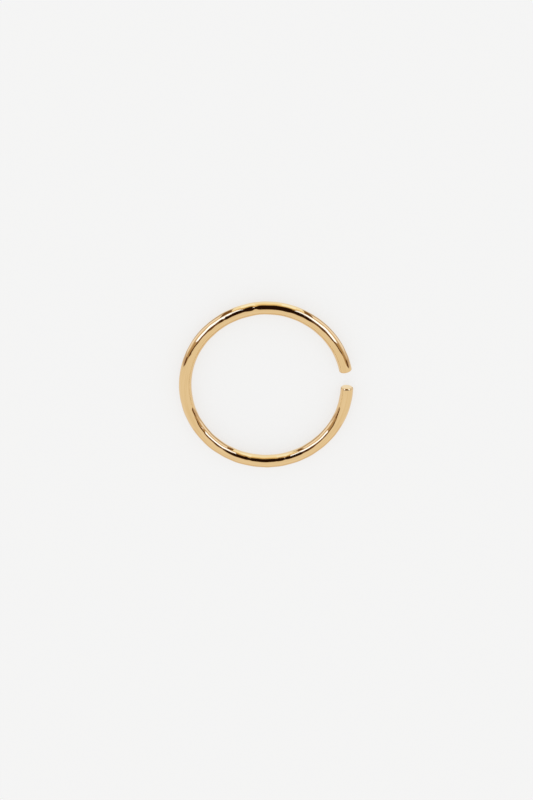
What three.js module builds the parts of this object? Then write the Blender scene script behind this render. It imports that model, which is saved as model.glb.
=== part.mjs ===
// Open hoop nose ring: one length of oval gold wire, bent into a circle, with two cut ends that
// face each other across a narrow gap. It is a single piece, with no clasp, post or stone.
//
// Millimetres, +Z up. The hoop lies flat on Z = 0 as it rests on a table. Its axis is +Z through
// the origin, and the gap between the ends is centred on +X.

import * as THREE from 'three';

// Driving dimensions
const INNER_DIAMETER = 9.5; // clear width inside the hoop
const WIRE_THICKNESS = 0.81; // of the wire, from the inside of the hoop to the outside
const WIRE_DEPTH = 0.95; // of the wire, along the hoop's axis
const END_GAP = 1.05; // between the cut ends, along the wire's centre line
const EDGE_ROUNDING = 0.12; // radius of the softened edge round each cut end

// Fineness of the facets
const WIRE_SIDES = 24; // round the wire's section
const HOOP_STEPS = 120; // along the wire, from one end to the other
const EDGE_STEPS = 4; // in the rounding of a cut end

// The gold's look
const GOLD = { color: 0xe6c186, roughness: 0.12, metalness: 1 };

// Worked out from the dimensions above
const CENTRE_RADIUS = (INNER_DIAMETER + WIRE_THICKNESS) / 2;
const WIRE_LENGTH = 2 * Math.PI * CENTRE_RADIUS - END_GAP;
const HALF_THICKNESS = WIRE_THICKNESS / 2;
const HALF_DEPTH = WIRE_DEPTH / 2;
const ROUNDING = Math.min(EDGE_ROUNDING, 0.45 * Math.min(WIRE_THICKNESS, WIRE_DEPTH));

// The facets touch the true oval from outside, so the size across them is the wire's real size.
const ACROSS_FLATS = 1 / Math.cos(Math.PI / WIRE_SIDES);

// Half of the straight wire's side view, from the middle of one end face to the middle of the
// other: x is the distance from the centre line, y the distance along the wire.
function wireProfile() {
  const points = [new THREE.Vector2(0, 0)];
  for (let step = 0; step <= EDGE_STEPS; step += 1) {
    const turn = (step / EDGE_STEPS) * (Math.PI / 2);
    points.push(
      new THREE.Vector2(
        HALF_THICKNESS - ROUNDING * (1 - Math.sin(turn)),
        ROUNDING * (1 - Math.cos(turn)),
      ),
    );
  }
  const straight = WIRE_LENGTH - 2 * ROUNDING;
  for (let step = 1; step < HOOP_STEPS; step += 1) {
    points.push(new THREE.Vector2(HALF_THICKNESS, ROUNDING + (step / HOOP_STEPS) * straight));
  }
  for (let step = EDGE_STEPS; step >= 0; step -= 1) {
    const nearEnd = points[1 + step];
    points.push(new THREE.Vector2(nearEnd.x, WIRE_LENGTH - nearEnd.y));
  }
  points.push(new THREE.Vector2(0, WIRE_LENGTH));
  return points;
}

// A point of the straight round wire, moved to the oval section. The oval is larger than the
// round one by the same amount all the way in to the end face, so the rounding keeps its radius.
function toOval(point) {
  const fromCentre = Math.hypot(point.x, point.z);
  if (fromCentre > 0) {
    point.z *= (fromCentre + HALF_DEPTH - HALF_THICKNESS) / fromCentre;
    point.x *= ACROSS_FLATS;
    point.z *= ACROSS_FLATS;
  }
  return point;
}

// A point of the straight oval wire, bent round the hoop's axis and set down on Z = 0.
function toHoop(point) {
  const angle = (END_GAP / 2 + point.y) / CENTRE_RADIUS;
  const radius = CENTRE_RADIUS + point.x;
  return point.set(radius * Math.cos(angle), radius * Math.sin(angle), HALF_DEPTH + point.z);
}

function hoopGeometry() {
  const halfSide = Math.PI / WIRE_SIDES;
  const geometry = new THREE.LatheGeometry(wireProfile(), WIRE_SIDES, halfSide);
  const position = geometry.getAttribute('position');
  const point = new THREE.Vector3();
  for (let index = 0; index < position.count; index += 1) {
    toHoop(toOval(point.fromBufferAttribute(position, index)));
    position.setXYZ(index, point.x, point.y, point.z);
  }
  geometry.computeVertexNormals();
  return geometry;
}

const hoop = new THREE.Mesh(hoopGeometry(), new THREE.MeshStandardMaterial(GOLD));
hoop.name = 'hoop';

const group = new THREE.Group();
group.add(hoop);

export default group;
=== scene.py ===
# A gold nose hoop lies on a pale floor, and a studio's light tent shows in its polish.
#
# Metres, +Z up. The hoop lies flat on Z = 0 with its axis through the origin, and the gap between
# its cut ends is centred on +X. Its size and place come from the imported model.

import math

import bmesh
import bpy
from mathutils import Matrix, Vector, noise


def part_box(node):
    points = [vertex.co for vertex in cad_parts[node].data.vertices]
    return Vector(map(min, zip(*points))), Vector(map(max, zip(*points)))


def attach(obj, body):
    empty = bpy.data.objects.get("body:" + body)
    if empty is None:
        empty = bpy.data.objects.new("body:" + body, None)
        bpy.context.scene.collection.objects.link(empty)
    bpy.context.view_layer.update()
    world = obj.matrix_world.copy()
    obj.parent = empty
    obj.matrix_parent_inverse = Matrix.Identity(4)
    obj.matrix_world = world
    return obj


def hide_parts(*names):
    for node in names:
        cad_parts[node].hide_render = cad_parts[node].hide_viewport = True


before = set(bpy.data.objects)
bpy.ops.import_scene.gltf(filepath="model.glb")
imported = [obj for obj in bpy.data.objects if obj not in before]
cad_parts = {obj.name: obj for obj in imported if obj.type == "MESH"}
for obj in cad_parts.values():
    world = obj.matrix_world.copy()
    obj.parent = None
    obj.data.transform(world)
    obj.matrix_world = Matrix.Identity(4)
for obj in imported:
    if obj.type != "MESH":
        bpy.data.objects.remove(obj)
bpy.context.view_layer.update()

MM = 0.001

# The hoop's driving sizes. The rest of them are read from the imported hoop's box.
WIRE_THICKNESS = 0.81 * MM  # from the inside of the hoop to the outside
END_GAP = 1.05 * MM  # between the cut ends, along the wire's centre line
END_ROUNDING = 0.12 * MM  # radius of the softened edge round each cut end

hoop_low, hoop_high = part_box("hoop")
WIRE_DEPTH = hoop_high.z - hoop_low.z
OUTER_RADIUS = (hoop_high.y - hoop_low.y) / 2
CENTRE_RADIUS = OUTER_RADIUS - WIRE_THICKNESS / 2
HOOP_CENTRE = Vector((0, 0, WIRE_DEPTH / 2))

# The hoop's fineness
WIRE_SIDES = 96  # round the wire's section
HOOP_STEPS = 480  # along the wire, between the roundings of its ends
ROUNDING_STEPS = 7  # in the rounding of a cut end
TIP_LENGTH = 1.3 * END_ROUNDING  # of the last step at each end, on the inside of the hoop
FACE_RINGS = (0.04, 0.12)  # widths of the rings set in each end face, in wire thicknesses

# How far the hand-bent wire strays from a true circle and a true oval
BOW_OUT = 0.020 * MM  # the widest place of the bend, outwards
BOW_OUT_AT = 78  # degrees round the hoop from the gap
BOW_IN = 0.016 * MM  # the flattest place of the bend, inwards
BOW_IN_AT = 119  # degrees round the hoop from the gap
BOW_SPREAD = 20  # degrees, of both
CREST_SHIFT = 0.065  # of the top and bottom of the section, inwards, in half thicknesses
RIPPLE_HEIGHT = 0.013 * MM  # of the skin's soft unevenness
RIPPLE_LENGTH = 0.55 * MM
RIPPLE_START = Vector((1.9, 8.8, 3.1))  # in the noise that the ripple follows

# Shallow dents and ridges from drawing and bending, in degrees and millimetres. Along is the place
# round the hoop from the gap, around the place round the wire from its top towards the outside.
# Each one is an oval with a half length along the wire and a half width round it, and a ridge has
# a negative depth.
DENTS = [
    # along, around, half length, half width, depth
    (38, 22, 0.30, 0.30, 0.004),
    (46, 26, 0.22, 0.20, -0.005),
    (57, 30, 0.35, 0.30, 0.005),
    (66, 28, 0.30, 0.18, -0.005),
    (79, 32, 0.40, 0.18, 0.006),
    (82, 33, 1.60, 0.20, -0.012),
    (91.5, 22, 0.20, 0.20, -0.036),
    (98.5, 16, 0.26, 0.24, -0.016),
    (113.5, 15, 0.14, 0.20, -0.012),
    (126, 24, 0.30, 0.20, 0.005),
    (148, 24, 0.30, 0.30, 0.004),
    (212, -30, 0.30, 0.30, 0.004),
    (228, -28, 0.25, 0.20, -0.005),
    (240, -24, 0.25, 0.20, 0.005),
    (251.5, -25, 0.16, 0.20, -0.022),
    (272.5, -25, 0.12, 0.20, -0.014),
    (279.5, -25, 0.16, 0.20, -0.022),
    (292, -28, 0.22, 0.20, 0.005),
    (303, -24, 0.30, 0.24, 0.004),
]
DENT_FALL = 2  # how fast a dent runs out from its middle
DENT_REACH = 2  # half sizes from its middle, past which a dent is too shallow to count

# The camera, at the photograph's angle to the hoop
PHOTO_HEIGHT = 800  # pixels
CAMERA_LEAN = 19.0  # degrees between the hoop's axis and the way to the camera
CAMERA_ROLL = 5.5  # degrees from the photograph's right to the middle of the gap
CAMERA_DISTANCE = 15.6 * CENTRE_RADIUS
FOCAL_LENGTH_IN_PIXELS = 1261
HOOP_LEFT_OF_MIDDLE = 0.4  # pixels, of the hoop's centre in the photograph
HOOP_ABOVE_MIDDLE = 13.7  # pixels
SENSOR_WIDTH = 36  # millimetres

# The pale surroundings
PALE = (0.911, 0.910, 0.907)
FLOOR_REACH = 0.30
FLOOR_GLOW = 0.75  # the share of the floor's light that no shadow takes away

# Half of the light tent's width, which all its other sizes are shares of
TENT_HALF_WIDTH = 0.100


def photo_axes():
    """The photograph's right, its up in the hoop's plane, and the hoop's axis."""
    roll = math.radians(CAMERA_ROLL)
    right = Vector((math.cos(roll), -math.sin(roll), 0))
    up = Vector((math.sin(roll), math.cos(roll), 0))
    return right, up, Vector((0, 0, 1))


def new_mesh_object(name, bm):
    """A mesh object at the origin, made from a finished bmesh."""
    mesh = bpy.data.meshes.new(name)
    bm.to_mesh(mesh)
    bm.free()
    piece = bpy.data.objects.new(name, mesh)
    bpy.context.scene.collection.objects.link(piece)
    return piece


# The camera


def add_camera():
    right, up, axis = photo_axes()
    lean = math.radians(CAMERA_LEAN)
    towards_camera = up * math.sin(lean) + axis * math.cos(lean)
    image_up = up * math.cos(lean) - axis * math.sin(lean)
    pixel = CAMERA_DISTANCE / FOCAL_LENGTH_IN_PIXELS
    data = bpy.data.cameras.new("camera")
    data.sensor_width = SENSOR_WIDTH
    data.lens = FOCAL_LENGTH_IN_PIXELS * SENSOR_WIDTH / PHOTO_HEIGHT
    data.clip_start = 1 * MM
    data.clip_end = 2
    camera = bpy.data.objects.new("camera", data)
    aim = HOOP_CENTRE + (right * HOOP_LEFT_OF_MIDDLE - image_up * HOOP_ABOVE_MIDDLE) * pixel
    place = HOOP_CENTRE + towards_camera * CAMERA_DISTANCE
    back = (place - aim).normalized()
    image_right = image_up.cross(back).normalized()
    turned = Matrix((image_right, back.cross(image_right), back)).transposed()
    camera.matrix_world = Matrix.Translation(place) @ turned.to_4x4()
    bpy.context.scene.collection.objects.link(camera)
    bpy.context.scene.camera = camera


# The hoop


def wire_section(bm):
    """The oval section of the wire, upright on +X at the hoop's centre radius."""
    made = bmesh.ops.create_circle(bm, cap_ends=False, radius=1, segments=WIRE_SIDES)
    for vert in made["verts"]:
        vert.co.x -= CREST_SHIFT * vert.co.y**2
    oval = Matrix.Diagonal((WIRE_THICKNESS / 2, WIRE_DEPTH / 2, 1, 1))
    upright = Matrix.Rotation(math.radians(90), 4, "X")
    place = Matrix.Translation((CENTRE_RADIUS, 0, WIRE_DEPTH / 2))
    bmesh.ops.transform(bm, matrix=place @ upright @ oval, verts=made["verts"])
    return list(bm.edges)


def sweep(bm, edges, angle, steps):
    """The section's edges carried on round the hoop's axis. Returns the edges at the far end."""
    made = bmesh.ops.spin(
        bm,
        geom=edges,
        cent=(0, 0, 0),
        axis=(0, 0, 1),
        angle=angle,
        steps=steps,
        use_merge=False,
        use_duplicate=False,
    )
    return [part for part in made["geom_last"] if isinstance(part, bmesh.types.BMEdge)]


def close_end(bm, rim):
    """Caps an end of the wire and rounds the edge round the cap."""
    bmesh.ops.contextual_create(bm, geom=rim)
    bmesh.ops.bevel(
        bm,
        geom=rim,
        offset=END_ROUNDING,
        offset_type="OFFSET",
        segments=ROUNDING_STEPS,
        profile=0.5,
        affect="EDGES",
        clamp_overlap=True,
        material=-1,
    )


def round_hoop():
    """The wire bent into a true circle, with its two softened ends."""
    bm = bmesh.new()
    start = END_GAP / 2 / CENTRE_RADIUS
    tip = TIP_LENGTH / (CENTRE_RADIUS - WIRE_THICKNESS / 2)
    first_rim = wire_section(bm)
    bmesh.ops.rotate(
        bm, cent=(0, 0, 0), matrix=Matrix.Rotation(start, 3, "Z"), verts=list(bm.verts)
    )
    edges = sweep(bm, first_rim, tip, 1)
    edges = sweep(bm, edges, 2 * math.pi - 2 * start - 2 * tip, HOOP_STEPS)
    last_rim = sweep(bm, edges, tip, 1)
    for rim in (first_rim, last_rim):
        close_end(bm, rim)
    flat_ends = [face for face in bm.faces if len(face.verts) > 4]
    for ring in FACE_RINGS:
        bmesh.ops.inset_region(bm, faces=flat_ends, thickness=ring * WIRE_THICKNESS)
    bmesh.ops.recalc_face_normals(bm, faces=list(bm.faces))
    return bm


def bump_at(angle, centre, height):
    """A smooth rise of the bend round one place of the hoop, in metres."""
    apart = (angle - centre + 180) % 360 - 180
    return height * math.exp(-((apart / BOW_SPREAD) ** 2))


def placed_dent(along, around, *sizes):
    """A dent's place on the true hoop's skin, the way along the wire there, and its sizes."""
    turn = math.radians(around)
    radius = CENTRE_RADIUS + WIRE_THICKNESS / 2 * math.sin(turn)
    place = Vector((radius, 0, WIRE_DEPTH / 2 * (1 + math.cos(turn))))
    way = Vector((0, 1, 0))
    round_hoop_axis = Matrix.Rotation(math.radians(along), 3, "Z")
    return round_hoop_axis @ place, round_hoop_axis @ way, *sizes


def depth_at(point, dents):
    """How deep the dents lie at a point of the skin, in metres."""
    total = 0
    for place, way, half_length, half_width, depth in dents:
        apart = (point - place) / MM
        if apart.length < DENT_REACH * max(half_length, half_width):
            lengthwise = apart.dot(way)
            sideways = (apart - lengthwise * way).length
            spread = (lengthwise / half_length) ** 2 + (sideways / half_width) ** 2
            total += depth * math.exp(-DENT_FALL * spread)
    return total * MM


def hand_bend(bm):
    """Moves the true hoop's skin to that of a hand-bent one, by hundredths of a millimetre."""
    dents = [placed_dent(*dent) for dent in DENTS]
    bm.normal_update()
    for vert in bm.verts:
        angle = math.degrees(math.atan2(vert.co.y, vert.co.x))
        outwards = Vector((vert.co.x, vert.co.y, 0)).normalized()
        bow = bump_at(angle, BOW_OUT_AT, BOW_OUT) - bump_at(angle, BOW_IN_AT, BOW_IN)
        ripple = RIPPLE_HEIGHT * noise.noise(RIPPLE_START + vert.co / RIPPLE_LENGTH)
        depth = depth_at(vert.co, dents)
        vert.co += outwards * bow + vert.normal * (ripple - depth)


def make_hoop(finish):
    bm = round_hoop()
    hand_bend(bm)
    for face in bm.faces:
        face.smooth = True
    hoop = new_mesh_object("hoop_wire", bm)
    hoop.data.materials.append(finish)
    return hoop


# Materials

GOLD_DEEP = (0.82, 0.555, 0.255)
GOLD_BRIGHT = (0.90, 0.635, 0.325)
POLISH_BEST = 0.03  # roughness
POLISH_WORST = 0.06
LINE_DULLNESS = 0.02
LINE_DEPTH = 0.0006 * MM
SCUFF_SHARE = 0.5  # of a line's depth
NOISE_LOW = 0.3  # most of a noise texture's values lie between these two
NOISE_HIGH = 0.7


def link(tree, from_node, from_socket, to_node, to_socket):
    tree.links.new(from_node.outputs[from_socket], to_node.inputs[to_socket])


def new_group(name, inputs, outputs):
    """A shader node group with named number inputs and outputs. Returns it with its ends."""
    group = bpy.data.node_groups.new(name, "ShaderNodeTree")
    for socket, kind, value in inputs:
        made = group.interface.new_socket(socket, in_out="INPUT", socket_type=kind)
        made.default_value = value
    for socket, kind in outputs:
        group.interface.new_socket(socket, in_out="OUTPUT", socket_type=kind)
    start = group.nodes.new("NodeGroupInput")
    end = group.nodes.new("NodeGroupOutput")
    return group, start, end


def math_node(tree, operation, first, second=None):
    """A math node on numbers or on other nodes' outputs."""
    node = tree.nodes.new("ShaderNodeMath")
    node.operation = operation
    for socket, value in zip(node.inputs, (first, second)):
        if isinstance(value, bpy.types.NodeSocket):
            tree.links.new(value, socket)
        elif value is not None:
            socket.default_value = value
    return node.outputs["Value"]


def drawn_lines_group():
    """Fine lines that follow the wire round the hoop, as a drawing die leaves them."""
    group, start, end = new_group(
        "drawn_lines",
        [
            ("Line Width", "NodeSocketFloat", 0.05 * MM),
            ("Line Length", "NodeSocketFloat", 2 * MM),
        ],
        [("Lines", "NodeSocketFloat")],
    )
    place = group.nodes.new("ShaderNodeTexCoord")
    parts = group.nodes.new("ShaderNodeSeparateXYZ")
    link(group, place, "Object", parts, "Vector")
    x, y, z = parts.outputs
    squares = math_node(
        group, "ADD", math_node(group, "MULTIPLY", x, x), math_node(group, "MULTIPLY", y, y)
    )
    radius = math_node(group, "SQRT", squares)
    across = math_node(group, "DIVIDE", radius, start.outputs["Line Width"])
    height = math_node(group, "DIVIDE", z, start.outputs["Line Width"])
    along_x = math_node(group, "DIVIDE", x, start.outputs["Line Length"])
    along_y = math_node(group, "DIVIDE", y, start.outputs["Line Length"])
    vector = group.nodes.new("ShaderNodeCombineXYZ")
    for value, socket in zip((across, height, along_x), vector.inputs):
        group.links.new(value, socket)
    grain = group.nodes.new("ShaderNodeTexNoise")
    grain.noise_dimensions = "4D"
    grain.inputs["Scale"].default_value = 1
    grain.inputs["Detail"].default_value = 2
    link(group, vector, "Vector", grain, "Vector")
    group.links.new(along_y, grain.inputs["W"])
    link(group, grain, "Fac", end, "Lines")
    return group


def handling_group():
    """Soft clouds of handling: where the polish is a little duller, and its fine scuffs."""
    group, start, end = new_group(
        "handling",
        [
            ("Patch Size", "NodeSocketFloat", 0.8 * MM),
            ("Scuff Size", "NodeSocketFloat", 0.06 * MM),
        ],
        [("Dullness", "NodeSocketFloat"), ("Scuffs", "NodeSocketFloat")],
    )
    place = group.nodes.new("ShaderNodeTexCoord")
    for size, detail, result in (("Patch Size", 3, "Dullness"), ("Scuff Size", 4, "Scuffs")):
        scale = math_node(group, "DIVIDE", 1, start.outputs[size])
        cloud = group.nodes.new("ShaderNodeTexNoise")
        cloud.inputs["Detail"].default_value = detail
        link(group, place, "Object", cloud, "Vector")
        group.links.new(scale, cloud.inputs["Scale"])
        link(group, cloud, "Fac", end, result)
    return group


def place_group(tree, group):
    node = tree.nodes.new("ShaderNodeGroup")
    node.node_tree = group
    return node


def between(tree, value, low, high):
    """A noise texture's value, spread over the range from low to high."""
    node = tree.nodes.new("ShaderNodeMapRange")
    tree.links.new(value, node.inputs["Value"])
    node.inputs["From Min"].default_value = NOISE_LOW
    node.inputs["From Max"].default_value = NOISE_HIGH
    node.inputs["To Min"].default_value = low
    node.inputs["To Max"].default_value = high
    return node.outputs["Result"]


def polished_gold():
    """Yellow gold, polished by hand, with faint lines along the wire."""
    material = bpy.data.materials.new("polished_gold")
    material.use_nodes = True
    tree = material.node_tree
    shader = tree.nodes["Principled BSDF"]
    shader.inputs["Metallic"].default_value = 1
    lines = place_group(tree, drawn_lines_group())
    handling = place_group(tree, handling_group())

    tone = tree.nodes.new("ShaderNodeMix")
    tone.data_type = "RGBA"
    factor, deep_gold, bright_gold = (tone.inputs[index] for index in (0, 6, 7))
    deep_gold.default_value = (*GOLD_DEEP, 1)
    bright_gold.default_value = (*GOLD_BRIGHT, 1)
    tree.links.new(between(tree, lines.outputs["Lines"], 0, 1), factor)
    tree.links.new(tone.outputs[2], shader.inputs["Base Color"])

    dullness = between(tree, handling.outputs["Dullness"], POLISH_BEST, POLISH_WORST)
    line_dullness = between(tree, lines.outputs["Lines"], LINE_DULLNESS, 0)
    roughness = math_node(tree, "ADD", dullness, line_dullness)
    tree.links.new(roughness, shader.inputs["Roughness"])

    scuffs = math_node(tree, "MULTIPLY", handling.outputs["Scuffs"], SCUFF_SHARE)
    relief = math_node(tree, "ADD", lines.outputs["Lines"], scuffs)
    bump = tree.nodes.new("ShaderNodeBump")
    bump.inputs["Strength"].default_value = 1
    bump.inputs["Distance"].default_value = LINE_DEPTH
    tree.links.new(relief, bump.inputs["Height"])
    link(tree, bump, "Normal", shader, "Normal")
    return material


def pale_floor():
    """Matt pale paper, partly lit from behind, so that shadows on it are faint."""
    material = bpy.data.materials.new("pale_paper")
    material.use_nodes = True
    tree = material.node_tree
    tree.nodes.clear()
    out = tree.nodes.new("ShaderNodeOutputMaterial")
    mix = tree.nodes.new("ShaderNodeMixShader")
    matt = tree.nodes.new("ShaderNodeBsdfDiffuse")
    glow = tree.nodes.new("ShaderNodeEmission")
    mix.inputs["Fac"].default_value = FLOOR_GLOW
    matt.inputs["Color"].default_value = (1, 1, 1, 1)
    glow.inputs["Color"].default_value = (*PALE, 1)
    tree.links.new(matt.outputs["BSDF"], mix.inputs[1])
    tree.links.new(glow.outputs["Emission"], mix.inputs[2])
    link(tree, mix, "Shader", out, "Surface")
    return material


# The surroundings


def add_floor():
    bm = bmesh.new()
    bmesh.ops.create_grid(bm, x_segments=1, y_segments=1, size=FLOOR_REACH)
    floor = new_mesh_object("floor", bm)
    floor.data.materials.append(pale_floor())
    floor.visible_glossy = False


def pale_world():
    """Even pale light from all round. The gold sees the tent instead of it."""
    world = bpy.data.worlds.new("pale_room")
    bpy.context.scene.world = world
    world.use_nodes = True
    light = world.node_tree.nodes["Background"]
    light.inputs["Color"].default_value = (*PALE, 1)
    light.inputs["Strength"].default_value = 1
    world.cycles_visibility.glossy = False


# The light tent, in shares of its half width. "top" is the wall at the photograph's top, "bottom"
# the one at its bottom, "front" the wall behind the camera, "back" the one under the hoop, and
# "left" and "right" are the sides.
TOP_AT = 1.33
BOTTOM_AT = -1.0
FRONT_AT = 1.6
BACK_AT = -2.2
MIDDLE_AT = 0.04  # of the tent, to the photograph's right of the hoop
LIFT = 0.001  # how far each panel hangs inside the one before it

# The tent's light, in red, green and blue
CLOTH = (0.88, 0.90, 0.94)
CLOTH_LOW = (0.84, 0.82, 0.84)
CLOTH_SHADED = (0.80, 0.76, 0.71)
CLOTH_LIT = (0.92, 0.94, 0.99)
CEILING_FAR = (0.98, 1.06, 1.15)
CEILING_LIT = (1.06, 1.22, 1.40)
CEILING_WARM = (1.05, 1.12, 1.05)
CEILING_GOLDEN = (0.92, 0.78, 0.48)
CEILING_BLUE = (1.10, 1.32, 1.58)
SIDE_FAR = (0.57, 0.51, 0.46)
SIDE_LOW = (0.62, 0.56, 0.57)
SIDE_MIDDLE = (0.77, 0.76, 0.82)
SIDE_HIGH = (0.89, 0.91, 1.02)
SIDE_BAND = (1.00, 1.07, 1.32)
SIDE_LINE = (0.70, 0.61, 0.55)
DARK = (0.020, 0.008, 0.004)
DARK_CORNER = (0.26, 0.15, 0.08)
BROWN = (0.13, 0.065, 0.03)
BROWN_LIGHT = (0.50, 0.39, 0.26)
SEAM = (0.22, 0.125, 0.05)
LAMP = (1.42, 1.92, 3.45)
LAMP_EDGE = (1.20, 1.55, 2.60)

# Across and along are a panel's reach in its wall: across is left to right, or up on a side wall,
# and along is back to front, or up on the front and back walls. The light runs evenly from the
# panel's first edge along it to its last.
PANELS = [
    # wall, across, along, first light, last light
    ("top", (-1, 1), (BACK_AT, -1), CEILING_FAR, CEILING_LIT),
    ("top", (-1, 1), (-1, -0.4), CEILING_LIT, CEILING_WARM),
    ("top", (-1, 1), (-0.4, 0.04), CEILING_WARM, CEILING_GOLDEN),
    ("top", (-1, 1), (0.04, 0.45), CEILING_GOLDEN, DARK),
    ("top", (-1, 1), (0.45, FRONT_AT), DARK, DARK),
    ("bottom", (-1, 1), (BACK_AT, -0.8), CLOTH_LOW, CLOTH_LOW),
    ("bottom", (-1, 1), (-0.8, 0.1), CLOTH_SHADED, CLOTH_SHADED),
    ("bottom", (-1, 1), (0.1, 0.45), CLOTH_LIT, CLOTH_LIT),
    ("bottom", (-1, 1), (0.45, FRONT_AT), CLOTH, CLOTH),
    ("back", (-1, 1), (BOTTOM_AT, TOP_AT), CLOTH, CLOTH),
    ("back", (-0.6, 0.6), (0.45, TOP_AT), CEILING_FAR, CEILING_FAR),
    ("front", (-1, 1), (BOTTOM_AT, 0.05), CLOTH, CLOTH),
    ("front", (-1, 1), (0.05, 0.25), BROWN_LIGHT, BROWN),
    ("front", (-1, 1), (0.25, TOP_AT), DARK, DARK),
]

# The side walls, each with the corners of the walls beside it. They are alike, left and right.
for side, outer, inner in (("left", -1, -0.7), ("right", 1, 0.7)):
    PANELS += [
        ("top", (0.88 * inner, 0.45 * inner), (-1.1, -0.1), CEILING_BLUE, CEILING_BLUE),
        ("top", (inner, 0.7 * inner), (0, 0.7), CEILING_GOLDEN, BROWN),
        ("top", (outer, inner), (0.2, 0.85), LAMP_EDGE, LAMP_EDGE),
        ("top", (outer, 0.86 * outer), (-1.4, 0.05), SEAM, SEAM),
        ("front", (outer, 0.76 * outer), (0.05, 0.7), DARK_CORNER, DARK_CORNER),
        (side, (BOTTOM_AT, TOP_AT), (BACK_AT, FRONT_AT), CLOTH, CLOTH),
        (side, (BOTTOM_AT, 0), (BACK_AT, -0.8), CLOTH_LOW, CLOTH_LOW),
        (side, (-0.05, TOP_AT), (BACK_AT, -0.9), SIDE_FAR, SIDE_FAR),
        (side, (-0.05, 0.09), (-0.9, 0.15), SIDE_LOW, SIDE_LOW),
        (side, (0.09, 0.3), (-0.9, 0.1), SIDE_MIDDLE, SIDE_MIDDLE),
        (side, (0.3, TOP_AT), (-0.9, 0.3), SIDE_HIGH, SIDE_HIGH),
        (side, (0.15, TOP_AT), (-0.88, -0.22), SIDE_BAND, SIDE_BAND),
        (side, (0.3, TOP_AT), (-0.1, 0.14), SIDE_LINE, SIDE_LINE),
        (side, (-0.05, 0.36), (0.05, 1), BROWN_LIGHT, BROWN_LIGHT),
        (side, (-0.05, 0.07), (0.08, 0.5), BROWN, BROWN),
        (side, (0.05, 0.18), (0.55, 0.8), BROWN, BROWN),
        (side, (0.03, 0.25), (0.8, FRONT_AT), BROWN, BROWN),
        (side, (0.24, TOP_AT), (0.9, FRONT_AT), DARK_CORNER, DARK),
        (side, (0.31, 0.6), (0.27, 0.85), LAMP, LAMP),
        (side, (0.6, TOP_AT), (0.25, 0.95), LAMP, LAMP),
        (side, (TOP_AT - 0.22, TOP_AT), (-1.6, 0.1), SEAM, SEAM),
    ]


def lit_cloth():
    """Cloth that glows by the light that each panel carries at its corners."""
    material = bpy.data.materials.new("lit_cloth")
    material.use_nodes = True
    tree = material.node_tree
    tree.nodes.clear()
    out = tree.nodes.new("ShaderNodeOutputMaterial")
    glow = tree.nodes.new("ShaderNodeEmission")
    light = tree.nodes.new("ShaderNodeVertexColor")
    light.layer_name = "light"
    link(tree, light, "Color", glow, "Color")
    link(tree, glow, "Emission", out, "Surface")
    material.cycles.emission_sampling = "NONE"
    return material


def panel_point(wall, across, along, lift):
    """A point of a wall, in metres. Lift is how far it lies inside the wall."""
    sideways, upwards, forwards = {
        "top": (across, TOP_AT - lift, along),
        "bottom": (across, BOTTOM_AT + lift, along),
        "front": (across, along, FRONT_AT - lift),
        "back": (across, along, BACK_AT + lift),
        "left": (lift - 1, across, along),
        "right": (1 - lift, across, along),
    }[wall]
    right, up, axis = photo_axes()
    reach = right * (MIDDLE_AT + sideways) + up * upwards + axis * forwards
    return HOOP_CENTRE + reach * TENT_HALF_WIDTH


def add_panel(name, wall, across, along, lift, lights, cloth):
    bm = bmesh.new()
    light_layer = bm.verts.layers.float_color.new("light")
    corners = ((0, 0), (1, 0), (1, 1), (0, 1))
    for side_way, length_way in corners:
        vert = bm.verts.new(panel_point(wall, across[side_way], along[length_way], lift))
        vert[light_layer] = (*lights[length_way], 1)
    bmesh.ops.contextual_create(bm, geom=list(bm.verts))
    panel = new_mesh_object(name, bm)
    panel.data.materials.append(cloth)
    panel.visible_camera = False
    panel.visible_diffuse = False
    panel.visible_shadow = False


def add_tent():
    cloth = lit_cloth()
    for number, (wall, across, along, first_light, last_light) in enumerate(PANELS):
        name = "tent_%s_%02d" % (wall, number)
        lights = (first_light, last_light)
        add_panel(name, wall, across, along, number * LIFT, lights, cloth)


# The whole scene

add_camera()
add_floor()
pale_world()
add_tent()

hoop = make_hoop(polished_gold())
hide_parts("hoop")
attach(hoop, "root")

bpy.context.scene.view_settings.view_transform = "Standard"
bpy.context.scene.cycles.use_denoising = True
